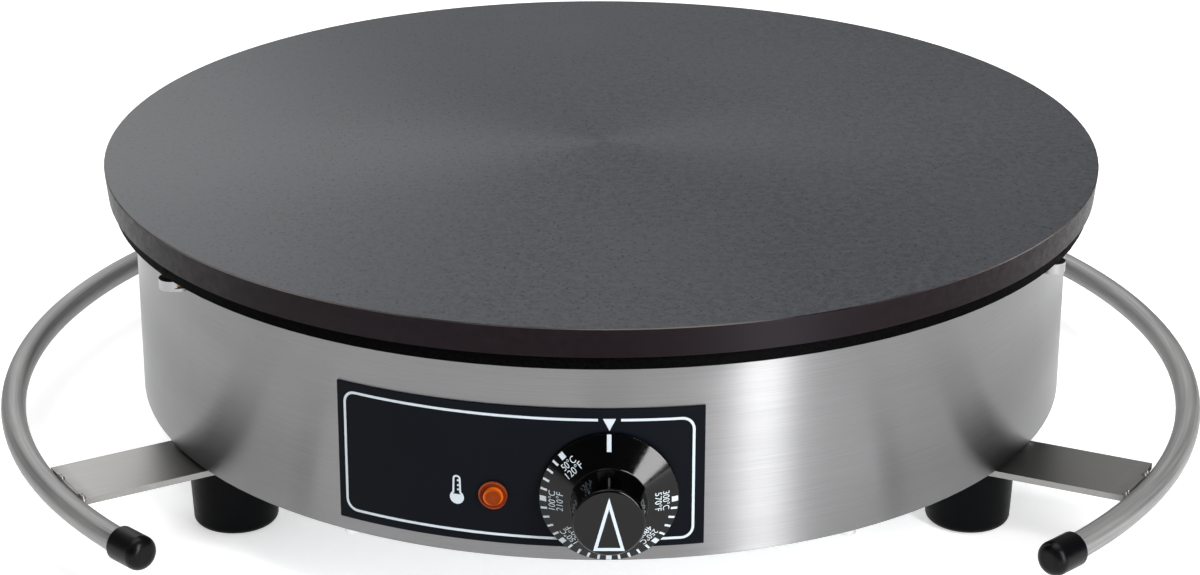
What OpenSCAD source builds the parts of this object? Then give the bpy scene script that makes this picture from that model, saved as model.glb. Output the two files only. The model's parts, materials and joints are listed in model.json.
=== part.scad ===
// Electric crepe maker: a round cast griddle plate over a sheet steel casing,
// with a thermostat knob in front and a carrying handle on each side.
// Millimetres. +X is to the right, -Y is the front, +Z is up.
// The origin is on the table, under the middle of the casing.

/* [Griddle plate] */
// Diameter of the cooking surface
plate_d = 400; // [380:5:420]
// Height of the machined rim
plate_t = 11.3; // [10:0.1:14]
// How far the rim leans in towards its lower edge
rim_draft = 1.1; // [0.5:0.1:2]
// Bevel round the top edge
plate_edge = 0.4; // [0.2:0.1:1]
// Height of the raw skirt under the rim
skirt_h = 5.3; // [4:0.1:7]
// Radial thickness of the skirt
skirt_w = 7; // [5:0.5:9]
// How far the skirt stands back from the rim's lower edge
skirt_inset = 2; // [1:0.1:3]
// How far the plate stands out over the casing
plate_overhang = 11.2; // [10.5:0.1:12]

/* [Casing] */
// Height of the casing
casing_h = 75.8; // [72:0.1:90]
// Thickness of the casing's sheet
sheet_t = 1; // [0.8:0.1:1.2]
// Width of the flange turned in at the casing's foot
flange_w = 12; // [11:0.5:14]
// Air gap between the casing's rim and the plate's skirt
plate_gap = 2.4; // [2:0.1:3]
// Thickness of the base plate
base_t = 1.4; // [1:0.1:2]
// How far the base plate's edge stands back from the casing
base_inset = 2.5; // [2:0.1:3]
// Length of a cooling slot in the base plate
vent_l = 30; // [20:1:40]
// Width of a cooling slot
vent_w = 4; // [3:0.5:5]
// Number of cooling slots
vents = 12; // [6:1:16]

/* [Plate supports] */
// Polar angle of the front right support
right_support_a = -25.5; // [-29:0.5:-24]
// Polar angle of the front left support, the rear one stands midway
left_support_a = 213; // [210:0.5:216]
// Width of a support tab
tab_w = 10; // [9:0.5:12]
// Thickness of a support tab
tab_t = 1.2; // [1:0.1:1.4]
// Height of a tab's welded leg
tab_leg_h = 20; // [14:1:24]
// Diameter of a support stud
stud_d = 4; // [3.5:0.1:4.2]
// Height of a support nut
stud_nut_h = 3.2; // [2.8:0.1:3.4]
// Width across the flats of a support nut
stud_nut_af = 7; // [6.8:0.1:7.5]
// How far the stud's axis stands outside the casing
stud_out = 1.7; // [1.4:0.1:2]
// How far a lug reaches below the skirt
lug_drop = 2.1; // [1.8:0.1:2.3]

/* [Handles] */
// Distance from the casing to a handle's centre line
handle_gap = 53.2; // [48:0.1:60]
// Outer diameter of the handle tube
tube_d = 10; // [9:0.5:12]
// Wall of the handle tube
tube_wall = 1.2; // [1:0.1:1.5]
// Half angle that a handle spans, end caps included
handle_span = 46.7; // [44:0.1:48]
// How far the tube's centre lies below the middle of the bracket
tube_drop = 2.5; // [2.2:0.1:2.8]
// How far the right handle is turned towards the front
right_handle_turn = 1; // [0:0.5:2]
// Outer diameter of an end cap
cap_d = 13.4; // [12.8:0.1:14]
// Length of an end cap
cap_l = 15; // [13:0.5:20]
// Rounding at the tip of an end cap
cap_round = 4; // [3:0.5:5]

/* [Brackets] */
// Angle from the X axis to the front right foot, which carries its bracket
right_foot_a = 30.9; // [30:0.1:33]
// Angle from the X axis to the front left foot
left_foot_a = 31.7; // [30:0.1:33]
// Angle from the X axis to a rear foot
rear_foot_a = 34; // [32:0.1:35]
// How far the front right bracket is turned about its foot
right_turn = 5.8; // [0:0.1:8]
// How far the front left bracket is turned about its foot
left_turn = 1.4; // [0:0.1:8]
// How far the front right bracket is set forward of its foot
right_shift = 1.5; // [0:0.1:2]
// How far the front left bracket is set back from its foot
left_shift = 1; // [0:0.1:2]
// Width of a bracket
bracket_w = 33; // [32:0.5:38]
// Thickness of a bracket
bracket_t = 2.5; // [2.2:0.1:2.8]
// Distance from a foot's axis to the bracket's inner end
bracket_in = 40; // [36:0.5:44]
// Thickness of the weld seam
weld_d = 2.4; // [2.2:0.1:3]
// Diameter at the root of a weld bead
bead_d = 3; // [2.6:0.1:3.4]
// Distance from a foot's axis to the bracket's screw
bracket_screw_in = 28; // [26:0.5:30]

/* [Feet] */
// Height of a foot
foot_h = 28.3; // [26:0.1:34]
// Diameter at the top of a foot
foot_d = 35.6; // [34:0.1:37]
// How much narrower the foot is at its lower end
foot_taper = 2.4; // [1:0.1:3]
// Rounding at the bottom of a foot
foot_round = 3; // [1.5:0.1:4]
// Distance from the casing to a foot's axis
foot_in = 20; // [19.5:0.1:23]
// Diameter of the recess for the bolt's head
foot_recess_d = 17; // [16.5:0.5:19]
// Depth of the recess for the bolt's head
foot_recess_h = 16; // [12:0.5:18]
// Diameter of a foot bolt
foot_bolt_d = 8; // [6:1:8]

/* [Control panel] */
// Height of the panel film
panel_h = 54.3; // [53:0.1:58]
// Height of the panel above the casing's foot
panel_z = 5.45; // [4:0.05:6.5]
// Thickness of the panel film
panel_t = 0.5; // [0.3:0.1:0.6]
// Angle from the front to the panel's left edge
panel_left_a = 30.25; // [28:0.25:36]
// Angle from the front to the panel's right edge
panel_right_a = 11.35; // [10:0.05:16]
// Angle from the front to the pilot lamp
lamp_a = 11.74; // [11:0.02:14]
// Height of the pilot lamp above the casing's foot
lamp_z = 24.5; // [22:0.1:40]
// Diameter of the pilot lamp's flange
lamp_d = 10.5; // [10:0.1:12]
// Diameter of the pilot lamp's dome
lamp_dome_d = 7.5; // [7:0.1:8]

/* [Knob] */
// Distance of the knob's axis to the right of the middle
knob_x = 3; // [0:0.5:5]
// Height of the knob's axis above the casing's foot
knob_z = 25.9; // [25:0.1:27]
// Diameter of the dial skirt
dial_d = 50; // [44:1:52]
// Thickness of the dial skirt at its edge
dial_edge = 0.7; // [0.7:0.1:1.5]
// Height of the dial skirt's cone
dial_h = 6.4; // [5:0.1:7]
// Diameter of the grip where it meets the dial
grip_d = 27.5; // [24:0.5:30]
// Diameter of the grip at its face
grip_end_d = 25.9; // [22:0.1:26]
// Length of the grip
grip_l = 15.4; // [14:0.1:20]
// Gap between the knob and the panel
knob_gap = 0.6; // [0.5:0.1:1]

/* [Thermostat] */
// Diameter of the thermostat's shaft
shaft_d = 6; // [5:0.5:6]
// Radial running clearance of the shaft
shaft_play = 0.05; // [0.02:0.01:0.08]
// Side of the thermostat's square body
thermostat_w = 38; // [36:1:40]
// Depth of the thermostat's body
thermostat_l = 22; // [18:1:24]
// Distance from the casing's face back to the thermostat
thermostat_back = 5.8; // [5.6:0.1:6.4]
// Distance between the thermostat's screws
thermostat_pitch = 28; // [26:1:28]
// Diameter of the temperature sensor
sensor_d = 6; // [5:0.5:6.5]
// Length of the temperature sensor
sensor_l = 52; // [40:1:52]
// Diameter of the capillary tube
capillary_d = 1.6; // [1.2:0.1:2]

/* [Heating element] */
// Diameter of the element's sheath
element_d = 8; // [6.5:0.1:8.5]
// Distance from the casing to the outer ring
element_in = 43.8; // [40:0.1:46]
// Distance between rings
ring_pitch = 40; // [38:0.5:42]
// Half angle of the cold gap at the front
element_gap_a = 12; // [11:0.5:14]
// Bend radius of the element's legs
leg_bend = 10; // [9:0.5:11]
// Width of a clamp bar
clamp_w = 16; // [12:1:20]
// Thickness of a clamp bar
clamp_t = 2; // [1.5:0.1:3]
// Diameter of a clamp stud
clamp_stud_d = 6; // [5:0.5:6]
// Distance from the casing to the heat shield's edge
shield_in = 23.8; // [22:0.1:30]
// Height of the heat shield above the base plate
shield_z = 51.8; // [50:0.1:54]
// Thickness of the heat shield
shield_t = 1; // [0.6:0.1:1.5]
// Height of the heat shield's rim
shield_rim_h = 8; // [5:0.5:10]
// Thickness of the insulation mat
mat_t = 10; // [6:0.5:11]
// Distance from the middle to a shield pillar
pillar_r = 120; // [116:1:124]
// Diameter of a shield pillar
pillar_d = 8; // [7:0.5:10]

/* [Mains inlet] */
// Height of the cable gland above the base plate
gland_z = 28; // [24:0.5:34]
// Diameter of the cable bore
cable_bore_d = 10; // [8:0.5:10]
// Length of the gland outside the casing
gland_l = 25.2; // [22:0.1:30]
// Distance from the casing to the terminal block
block_in = 60.8; // [56:0.1:70]
// Width of the terminal block
block_w = 62; // [60:1:66]
// Depth of the terminal block
block_l = 20; // [18:1:24]
// Height of the terminal block
block_h = 18; // [16:0.5:22]

/* [Hidden] */
$fn = 96;

// Clearances
eps = 0.01;       // overshoot of a cutting body
fit = 0.1;        // radial clearance of a fixed pin in its hole
seat = 0.1;       // gap between curved faces that are clamped together
hole_fit = 0.2;   // radial clearance of a screw's hole
cap_fit = 0.25;   // radial clearance of a straight cap on the curved tube
slide = 0.3;      // gap round a piece that drops into place

// Levels, from the table up
bracket_z = foot_h;
base_z = bracket_z + bracket_t;
floor_z = base_z + base_t;
rim_z = floor_z + casing_h;
skirt_z = rim_z + plate_gap;
under_z = skirt_z + skirt_h;
top_z = under_z + plate_t;
lug_z = skirt_z - lug_drop;
tab_top_z = lug_z - stud_nut_h;
tab_z = tab_top_z - tab_t;
tube_z = bracket_z + bracket_t / 2 - tube_drop;

// Radii
plate_r = plate_d / 2;
rim_foot_r = plate_r - rim_draft;
skirt_r = rim_foot_r - skirt_inset;
casing_r = plate_r - plate_overhang;
inner_r = casing_r - sheet_t;
base_r = casing_r - base_inset;
handle_r = casing_r + handle_gap;
foot_r = casing_r - foot_in;
weld_r = handle_r - tube_d * 0.44;
stud_r = casing_r + stud_out;

// Repeated places
support_angles = [right_support_a, (right_support_a + left_support_a) / 2, left_support_a];
foot_angles = [-right_foot_a, rear_foot_a, 180 - rear_foot_a, 180 + left_foot_a];
bracket_turns = [right_turn, 0, 0, -left_turn];
bracket_shifts = [-right_shift, 0, 0, -left_shift];
right_a = -right_handle_turn;
left_a = 180;
front_a = -90;
rear_a = 90;

// Support lugs and studs
lug_tip_r = 5;
lug_root_r = 11;
lug_bore_h = 12;
lip_a = 33;       // angle between the lip and the radius
lip_out = 2.2;    // how far the lip's outline is shifted from the stud
lip_gap = 0.4;    // gap between the lip and the lug
stud_wall = 0.5;  // gap between the lip and the casing

// Weld seam
weld_drop = 0.9;  // depth of the seam's middle below the bracket's top
seam_end = 0.55;  // part of the half width that the seam covers on the handle's inner side
bead_ys = [-1, -0.85, 0.3, 0.45];
bead_sink = 1;    // depth of a bead's root below the bracket's top
bead_h = 2.2;

// Machine screws, M4 and M5
m4 = 4;
m5 = 5;
m4_head_d = 7;
m4_head_h = 2.2;
m4_nut_af = 7;
m4_nut_h = 3.2;
m5_nut_af = 8;
m5_nut_h = 4;
m5_head_d = 9;
m5_head_h = 3;
screw_out = 2;    // thread that shows past a nut

// Foot bolts
bolt_head_af = foot_bolt_d * 1.625;
bolt_head_h = foot_bolt_d * 0.66;
bolt_nut_h = foot_bolt_d * 0.8;

// Base screws
base_screws_n = 6;
base_screw_r = casing_r - flange_w / 2 - 0.5;
base_screw_l = 9;

// Cooling slots
vent_r = 50;

// Knob, seen along its own axis from the back of the dial
knob_axis_z = floor_z + knob_z;
knob_y = casing_r + panel_t + seat + knob_gap;
knob_l = dial_h + grip_l;
grip_round = 1.2;
dial_round = 0.4; // rounding of the dial's outer edge
root_round = 1;   // fillet between the dial and the grip
shaft_in_knob = 16;
shaft_flat = 1;
shaft_in_body = 10;
neck_d = 10;
neck_hole_d = 12;
neck_out = 0.3;   // how far the neck stays behind the casing's face

// Thermostat and its bracket
thermostat_y = casing_r - thermostat_back;
plate_iron_t = 1.5;
iron_w = thermostat_w + 6;
iron_foot_y = casing_r - flange_w - 2.8;
iron_step_z = knob_axis_z - thermostat_w / 2 - plate_iron_t - 0.5;
iron_top_z = knob_axis_z + thermostat_w / 2 + 4;
iron_screw_y = thermostat_y - thermostat_l - m4_nut_af / 2 - 1;
iron_foot_l = iron_foot_y - iron_screw_y + 6;
thermostat_head_d = 7;
thermostat_head_h = 1.4;
blade_w = 6.3;
blade_t = 0.8;
blade_l = 8;
blade_dx = 7;
blade_dz = 6;

// Heating element
element_r = casing_r - element_in;
ring_radii = [element_r, element_r - ring_pitch, element_r - 2 * ring_pitch];
element_z = under_z - element_d / 2 - fit;
gap_start = front_a + element_gap_a;
gap_end = rear_a + 180 - element_gap_a;
bend_step = 0.02; // how far a bend's skin lies inside the skin of what it joins
bend_in = 0.4;    // how far a bend enters what it joins
leg_foot_z = floor_z + shield_z - 4;
pin_d = 3.6;
pin_l = 10;
clamp_angles = [0, 120, 240];
clamp_top_z = element_z - element_d / 2 - fit;
clamp_z = clamp_top_z - clamp_t;
clamp_over = 7;
clamp_stud_radii = [element_r - ring_pitch / 2, element_r - ring_pitch * 1.5];
clamp_nut_af = 10;
clamp_nut_h = 5;
clamp_bore_h = 8.5;
boss_d = 14;
boss_h = 3;

// Feet of the element's two legs, [x, y]
leg_1 = turned([element_r, -leg_bend], gap_start);
leg_2 = turned([ring_radii[2], leg_bend], gap_end);

// Heat shield and insulation
shield_bottom_z = floor_z + shield_z;
shield_r = casing_r - shield_in;
mat_r = shield_r - shield_t - 2;
leg_hole_d = element_d + 4;
pillar_angles = [60, 180, 300];
pillar_bore_h = 12;

// Temperature sensor, which lies square to the radius at sensor_a between the inner rings
sensor_a = -45;
sensor_r = ring_radii[2] + element_d / 2 + sensor_d / 2 + 4;
sensor_z = under_z - sensor_d / 2 - fit;
clip_w = 12;
clip_t = 1.5;
clip_z = sensor_z - sensor_d / 2 - fit - clip_t;
clip_radii = [sensor_r - sensor_d / 2 - 3.5, sensor_r + sensor_d / 2 + 11];
clip_screw_r = clip_radii[1] - 5;

// Pilot lamp
lamp_body_d = 9;
lamp_body_l = 21;
lamp_flange_t = 1.2;
lamp_dome_h = 1.8;
lamp_plug_d = 7;
lamp_plug_l = 6;
lamp_clip_d = 16;
lamp_axis_z = floor_z + lamp_z;
lamp_face_r = casing_r + panel_t + 2 * seat;
lamp_blade_w = 2.8;
lamp_blade_dz = 2.4;
lamp_blade_l = 6;

// Mains inlet
gland_axis_z = floor_z + gland_z;
gland_thread_d = 16;
gland_flange_l = 5.2;
gland_af = 22;
gland_thread_in = 9;
gland_nose_l = 6;
gland_cap_d = 20;
gland_thread_out = 8;
locknut_t = 4;
locknut_gap = 0.5;
seal_l = gland_l - gland_flange_l - gland_nose_l - gland_thread_out - 2 * fit;

// Terminal block: four ways along X
block_y = casing_r - block_in;
way_xs = [-18, -6, 6, 18];
way_z = floor_z + 8;
way_d = 3.6;
way_screw_d = 5;
block_fix_x = block_w / 2 - 3.5;
earth_x = block_w / 2 + 13;
earth_y = block_y - 16;
earth_screw_l = 14;

// Internal wires
wire_d = 2.6;
wire_in = 3;      // length of wire inside a terminal
wire_end = 0.5;   // gap between a wire's end and its terminal
wire_z = floor_z + 4;
wire_start_y = block_y - block_l / 2 + wire_in;
blade_end_y = -(thermostat_y - thermostat_l - blade_l) + wire_end;
pin_foot_z = leg_foot_z - pin_l - wire_end;
lamp_end_r = lamp_face_r - lamp_body_l - lamp_blade_l - wire_end;
lamp_polar = front_a - lamp_a;
lamp_end = turned([lamp_end_r, 0], lamp_polar);
lamp_near = turned([lamp_end_r - 10, 0], lamp_polar);
mid_y = block_y - 68;
near_y = blade_end_y + 62;
capillary_y = -(thermostat_y - thermostat_l / 2);
capillary_x = knob_x + 9;

// The point p = [x, y, z], turned by a degrees about the Z axis
function turned_point(p, a) = concat(turned(p, a), p[2]);

// Routes of the wires and of the capillary tube
live_route = [
  [way_xs[1], wire_start_y, way_z],
  [way_xs[1], block_y - 30, way_z],
  [way_xs[1] - 8, mid_y, wire_z],
  [way_xs[1] - 10, 0, wire_z],
  [way_xs[1] - 10, near_y, wire_z],
  [knob_x - blade_dx - 6, blade_end_y + 22, wire_z + 6],
  [knob_x - blade_dx, blade_end_y + 6, knob_axis_z - blade_dz],
  [knob_x - blade_dx, blade_end_y, knob_axis_z - blade_dz]
];
neutral_route = [
  [way_xs[2], wire_start_y, way_z],
  [way_xs[2], block_y - 30, way_z],
  [way_xs[2] - 1, mid_y, wire_z],
  [way_xs[2] - 2, -10, wire_z + 2],
  [leg_2[0] + 1, leg_2[1] + 24, wire_z + 6],
  [leg_2[0], leg_2[1], pin_foot_z - 14],
  [leg_2[0], leg_2[1], pin_foot_z]
];
element_route = [
  [knob_x + blade_dx, blade_end_y, knob_axis_z + blade_dz],
  [knob_x + blade_dx, blade_end_y + 4, knob_axis_z + blade_dz],
  [leg_1[0] - 4, leg_1[1] + 4, knob_axis_z + blade_dz - 3],
  [leg_1[0], leg_1[1], pin_foot_z - 5],
  [leg_1[0], leg_1[1], pin_foot_z]
];
lamp_live_route = [
  [knob_x - blade_dx, blade_end_y, knob_axis_z + blade_dz],
  [knob_x - blade_dx, blade_end_y + 5, knob_axis_z + blade_dz],
  [knob_x - blade_dx - 10, blade_end_y + 9, knob_axis_z + blade_dz],
  [lamp_near[0], lamp_near[1], lamp_axis_z + lamp_blade_dz],
  [lamp_end[0], lamp_end[1], lamp_axis_z + lamp_blade_dz]
];
lamp_neutral_route = [
  [way_xs[0], wire_start_y, way_z],
  [way_xs[0], block_y - 30, way_z],
  [way_xs[0] - 10, mid_y, wire_z],
  [lamp_end[0] - 17, 0, wire_z],
  [lamp_end[0] - 19, near_y, wire_z + 2],
  [lamp_end[0] - 11, lamp_end[1] + 20, wire_z + 10],
  [lamp_near[0], lamp_near[1], lamp_axis_z - lamp_blade_dz],
  [lamp_end[0], lamp_end[1], lamp_axis_z - lamp_blade_dz]
];
earth_route = [
  [way_xs[3], wire_start_y, way_z],
  [way_xs[3], block_y - 24, way_z],
  [way_xs[3] + 8, block_y - 36, wire_z],
  [earth_x - 6, block_y - 36, wire_z],
  [earth_x, earth_y - m5_nut_af / 2 - 6, floor_z + m5_nut_h / 2],
  [earth_x, earth_y - m5_nut_af / 2 - wire_end, floor_z + m5_nut_h / 2]
];
capillary_route = [
  turned_point([sensor_r, -sensor_l / 2 - fit, sensor_z], sensor_a),
  turned_point([sensor_r, -sensor_l / 2 - 7, sensor_z - 0.5], sensor_a),
  turned_point([sensor_r, -sensor_l / 2 - 12, clamp_z - 6], sensor_a),
  turned_point([ring_radii[1], 0, clamp_z - 8], gap_start + 8),
  turned_point([ring_radii[0], 0, clamp_z - 8], gap_start + 3.5),
  [capillary_x + 16, capillary_y + 8, clamp_z - 10],
  [capillary_x + 2, capillary_y, clamp_z - 16],
  [capillary_x, capillary_y, knob_axis_z + thermostat_w / 2 + 5],
  [capillary_x, capillary_y, knob_axis_z + thermostat_w / 2 + wire_end]
];

// ---- Helpers ----

// The point p = [x, y], turned by a degrees about the origin
function turned(p, a) = [p[0] * cos(a) - p[1] * sin(a), p[0] * sin(a) + p[1] * cos(a)];

// A point on the Catmull-Rom curve from b to c
function curve_point(a, b, c, d, t) =
  0.5 * (2 * b + (c - a) * t + (2 * a - 5 * b + 4 * c - d) * t * t
    + (3 * b - a - 3 * c + d) * t * t * t);

// A smooth path through the points p, with n steps between neighbours
function smooth_path(p, n) = concat(
  [for (i = [0:len(p) - 2], k = [0:n - 1]) curve_point(
    p[max(i - 1, 0)], p[i], p[i + 1], p[min(i + 2, len(p) - 1)], k / n)],
  [p[len(p) - 1]]);

function unit(v) = v / norm(v);

// Direction of the path p at each of its points
function directions(p) = [for (i = [0:len(p) - 1])
  unit(p[min(i + 1, len(p) - 1)] - p[max(i - 1, 0)])];

// Square to the directions t, turning as little as possible from one to the next
function square_to(v, t) = unit(v - (v * t) * t);
function normals(t) = [
  for (i = 0, v = square_to([1, 0.01, 0.02], t[0]); i < len(t);
    i = i + 1, v = i < len(t) ? square_to(v, t[i]) : v) v];

// A round cord of diameter d along the smooth path through the points
module swept(points, d, steps = 3, sides = 8) {
  path = smooth_path(points, steps);
  t = directions(path);
  n = normals(t);
  rings = len(path);
  vertices = [for (i = [0:rings - 1], k = [0:sides - 1])
    path[i] + d / 2 * (cos(360 * k / sides) * n[i] + sin(360 * k / sides) * cross(t[i], n[i]))];
  skin = [for (i = [0:rings - 2], k = [0:sides - 1]) let (j = (k + 1) % sides)
    [i * sides + k, (i + 1) * sides + k, (i + 1) * sides + j, i * sides + j]];
  ends = [
    [for (k = [0:sides - 1]) k],
    [for (k = [sides - 1:-1:0]) (rings - 1) * sides + k]
  ];
  polyhedron(vertices, concat(skin, ends));
}

// Moves its children out to radius r at polar angle a
module polar(r, a) {
  rotate([0, 0, a]) translate([r, 0, 0]) children();
}

// Points the children's +Z axis to the front or to the rear
module facing_front() {
  rotate([90, 0, 0]) children();
}

module facing_rear() {
  rotate([-90, 0, 0]) children();
}

// A stretch of ring about the Z axis, from angle a0 to a1, of the 2D profile in [r, z]
module ring_sector(a0, a1) {
  rotate([0, 0, a0]) rotate_extrude(angle = a1 - a0) children();
}

module hexagon(af) {
  circle(d = af / cos(30), $fn = 6);
}

module hex_nut(af, h, bore_d) {
  linear_extrude(h) difference() {
    hexagon(af);
    circle(d = bore_d);
  }
}

// A screw from below: its head hangs under z = 0 and its shank rises to length l
module screw(d, l, head_d, head_h) {
  translate([0, 0, -head_h]) cylinder(d = head_d, h = head_h);
  cylinder(d = d, h = l);
}

// A slot of length l and width w along X, for cutting
module slot(l, w, h) {
  translate([-l / 2 + w / 2, -w / 2, 0]) cube([l - w, w, h]);
  for (s = [-1, 1]) translate([s * (l - w) / 2, 0, 0]) cylinder(d = w, h = h);
}

// ---- Griddle plate and its supports ----

module griddle_plate() {
  color("#3b3a3d") difference() {
    union() {
      rotate_extrude() polygon([
        [0, under_z],
        [skirt_r - skirt_w, under_z],
        [skirt_r - skirt_w, skirt_z],
        [skirt_r, skirt_z],
        [skirt_r, under_z],
        [rim_foot_r, under_z],
        [plate_r, top_z - plate_edge],
        [plate_r - plate_edge, top_z],
        [0, top_z]
      ]);
      for (a = support_angles) support_lug(a);
      for (a = clamp_angles, r = clamp_stud_radii) polar(r, a)
        translate([0, 0, under_z - boss_h]) cylinder(d = boss_d, h = boss_h + 1);
    }
    for (a = support_angles) polar(stud_r, a)
      translate([0, 0, lug_z - eps]) cylinder(d = stud_d + 2 * fit, h = lug_bore_h + fit);
    for (a = clamp_angles, r = clamp_stud_radii) polar(r, a)
      translate([0, 0, under_z - boss_h - eps])
        cylinder(d = clamp_stud_d + 2 * fit, h = clamp_bore_h + fit);
    polar(clip_screw_r, sensor_a)
      translate([0, 0, under_z - eps]) cylinder(d = m4 + 2 * fit, h = m4 + 2 * fit);
  }
}

module support_lug(a) {
  intersection() {
    polar(stud_r, a) translate([0, 0, lug_z])
      cylinder(r1 = lug_tip_r, r2 = lug_root_r, h = under_z + 1 - lug_z);
    cylinder(r = rim_foot_r - 0.2, h = top_z);
  }
}

module plate_supports() {
  leg_r = inner_r - seat;
  leg_a = asin(tab_w / 2 / leg_r);
  color("#c9c9cc") for (a = support_angles) difference() {
    union() {
      ring_sector(a - leg_a, a + leg_a)
        translate([leg_r - tab_t, tab_top_z - tab_leg_h]) square([tab_t, tab_leg_h]);
      rotate([0, 0, a]) translate([leg_r - tab_t + eps, -tab_w / 2, tab_z])
        cube([stud_r - leg_r + tab_t, tab_w, tab_t]);
      polar(stud_r, a) translate([0, 0, tab_z]) cylinder(d = tab_w, h = tab_t);
      polar(stud_r, a) tab_lip();
    }
    polar(stud_r, a) translate([0, 0, tab_z - eps])
      cylinder(d = stud_d + 2 * fit, h = tab_t + 2 * eps);
  }
}

// Lip turned up at the outer edge of a tab, beside the nut
module tab_lip() {
  lip_h = tab_t + stud_nut_h - lip_gap;
  difference() {
    intersection() {
      rotate([0, 0, -lip_a]) translate([lip_out, 0, tab_z]) cylinder(d = tab_w, h = lip_h);
      translate([stud_wall - stud_out, -tab_w, tab_z]) cube([2 * tab_w, 2 * tab_w, lip_h]);
    }
    translate([0, 0, tab_top_z]) cylinder(d = stud_nut_af / cos(30) + 2 * slide, h = lip_h);
  }
}

module support_studs() {
  color("#b8b8bb") for (a = support_angles) polar(stud_r, a)
    translate([0, 0, tab_z]) cylinder(d = stud_d, h = lug_z - tab_z + lug_bore_h - 1);
}

module support_nuts() {
  color("#c9a24a") for (a = support_angles) polar(stud_r, a)
    translate([0, 0, tab_top_z]) hex_nut(stud_nut_af, stud_nut_h, stud_d + 2 * fit);
}

// ---- Casing and base ----

module casing() {
  color("#a9a9ab") difference() {
    rotate_extrude() polygon([
      [casing_r - flange_w, floor_z],
      [casing_r, floor_z],
      [casing_r, rim_z],
      [inner_r, rim_z],
      [inner_r, floor_z + sheet_t],
      [casing_r - flange_w, floor_z + sheet_t]
    ]);
    for (a = support_angles) polar(inner_r - 1, a)
      translate([0, -tab_w / 2 - slide, tab_z])
        cube([sheet_t + 2, tab_w + 2 * slide, rim_z - tab_z + 1]);
    translate([knob_x, -inner_r + 2, knob_axis_z])
      facing_front() cylinder(d = neck_hole_d, h = sheet_t + 4);
    rotate([0, 0, lamp_polar]) translate([inner_r - 2, 0, lamp_axis_z])
      rotate([0, 90, 0]) cylinder(d = lamp_body_d + 2 * hole_fit, h = sheet_t + 4);
    translate([0, inner_r - 2, gland_axis_z])
      facing_rear() cylinder(d = gland_thread_d + 2 * hole_fit, h = sheet_t + 4);
    base_screw_places() translate([0, 0, floor_z - eps])
      cylinder(d = m4 + 2 * fit, h = sheet_t + 2 * eps);
  }
}

module base_screw_places() {
  for (i = [0:base_screws_n - 1]) polar(base_screw_r, 360 / base_screws_n * i) children();
}

module chassis_screw_places() {
  for (s = [-1, 1]) {
    translate([knob_x + s * thermostat_pitch / 2, -iron_screw_y, base_z]) children();
    translate([s * block_fix_x, block_y, base_z]) children();
  }
}

module base_plate() {
  color("#b4b4b6") difference() {
    translate([0, 0, base_z]) cylinder(r = base_r, h = base_t);
    translate([0, 0, base_z - eps]) {
      for (i = [0:3]) bracket_holes(i, base_t + 2 * eps);
      base_screw_places() cylinder(d = m4 + 2 * hole_fit, h = base_t + 2 * eps);
      for (a = pillar_angles) polar(pillar_r, a)
        cylinder(d = m4 + 2 * hole_fit, h = base_t + 2 * eps);
      for (i = [0:vents - 1]) polar(vent_r, 360 / vents * (i + 0.5))
        slot(vent_l, vent_w, base_t + 2 * eps);
      translate([earth_x, earth_y, 0]) cylinder(d = m5 + 2 * hole_fit, h = base_t + 2 * eps);
    }
    chassis_screw_places() translate([0, 0, -eps])
      cylinder(d = m4 + 2 * hole_fit, h = base_t + 2 * eps);
  }
}

module base_screws() {
  color("#8f8f92") base_screw_places() translate([0, 0, base_z])
    screw(m4, base_screw_l, m4_head_d, m4_head_h);
}

module control_panel() {
  color("#14181e") difference() {
    ring_sector(front_a - panel_left_a, front_a + panel_right_a)
      translate([casing_r + seat, floor_z + panel_z]) square([panel_t, panel_h]);
    translate([knob_x, -inner_r + 2, knob_axis_z])
      facing_front() cylinder(d = neck_hole_d + 1, h = sheet_t + 6);
    rotate([0, 0, lamp_polar]) translate([inner_r - 2, 0, lamp_axis_z])
      rotate([0, 90, 0]) cylinder(d = lamp_body_d + 2 * hole_fit, h = sheet_t + 6);
  }
}

// ---- Handles, brackets and feet ----

// Angle at the handle's radius that an arc of length l spans
function arc_a(l) = l / handle_r * 180 / PI;

module handle_tube(a) {
  half = handle_span - arc_a(cap_round + 3 * fit);
  color("#b9babc") ring_sector(a - half, a + half) translate([handle_r, tube_z]) difference() {
    circle(d = tube_d);
    circle(d = tube_d - 2 * tube_wall);
  }
}

module right_handle_tube() {
  handle_tube(right_a);
}

module left_handle_tube() {
  handle_tube(left_a);
}

// End cap on the end that lies at the angle side * handle_span from a
module end_cap(a, side) {
  mid_a = side * (handle_span - arc_a(cap_l / 2));
  bore_l = cap_l - cap_round - fit;
  color("#1b1b1d") rotate([0, 0, a + mid_a]) translate([handle_r, 0, tube_z])
    rotate([-90 * side, 0, 0]) translate([0, 0, -cap_l / 2]) rotate_extrude() difference() {
      union() {
        square([cap_d / 2, cap_l - cap_round]);
        square([cap_d / 2 - cap_round, cap_l]);
        intersection() {
          translate([0, cap_l - cap_round]) square([cap_d / 2, cap_round]);
          translate([cap_d / 2 - cap_round, cap_l - cap_round]) circle(r = cap_round);
        }
      }
      square([tube_d / 2 + cap_fit, bore_l]);
    }
}

module front_right_end_cap() {
  end_cap(right_a, -1);
}

module rear_right_end_cap() {
  end_cap(right_a, 1);
}

module rear_left_end_cap() {
  end_cap(left_a, -1);
}

module front_left_end_cap() {
  end_cap(left_a, 1);
}

// Places its children on the foot's axis, with +X outwards along the bracket
module at_foot(i) {
  polar(foot_r, foot_angles[i]) rotate([0, 0, bracket_turns[i]]) children();
}

// The same, level with the foot, but on the bracket's middle line
module on_bracket(i) {
  at_foot(i) translate([0, bracket_shifts[i], 0]) children();
}

module at_bracket_screw(i) {
  on_bracket(i) translate([-bracket_screw_in, 0, 0]) children();
}

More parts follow.
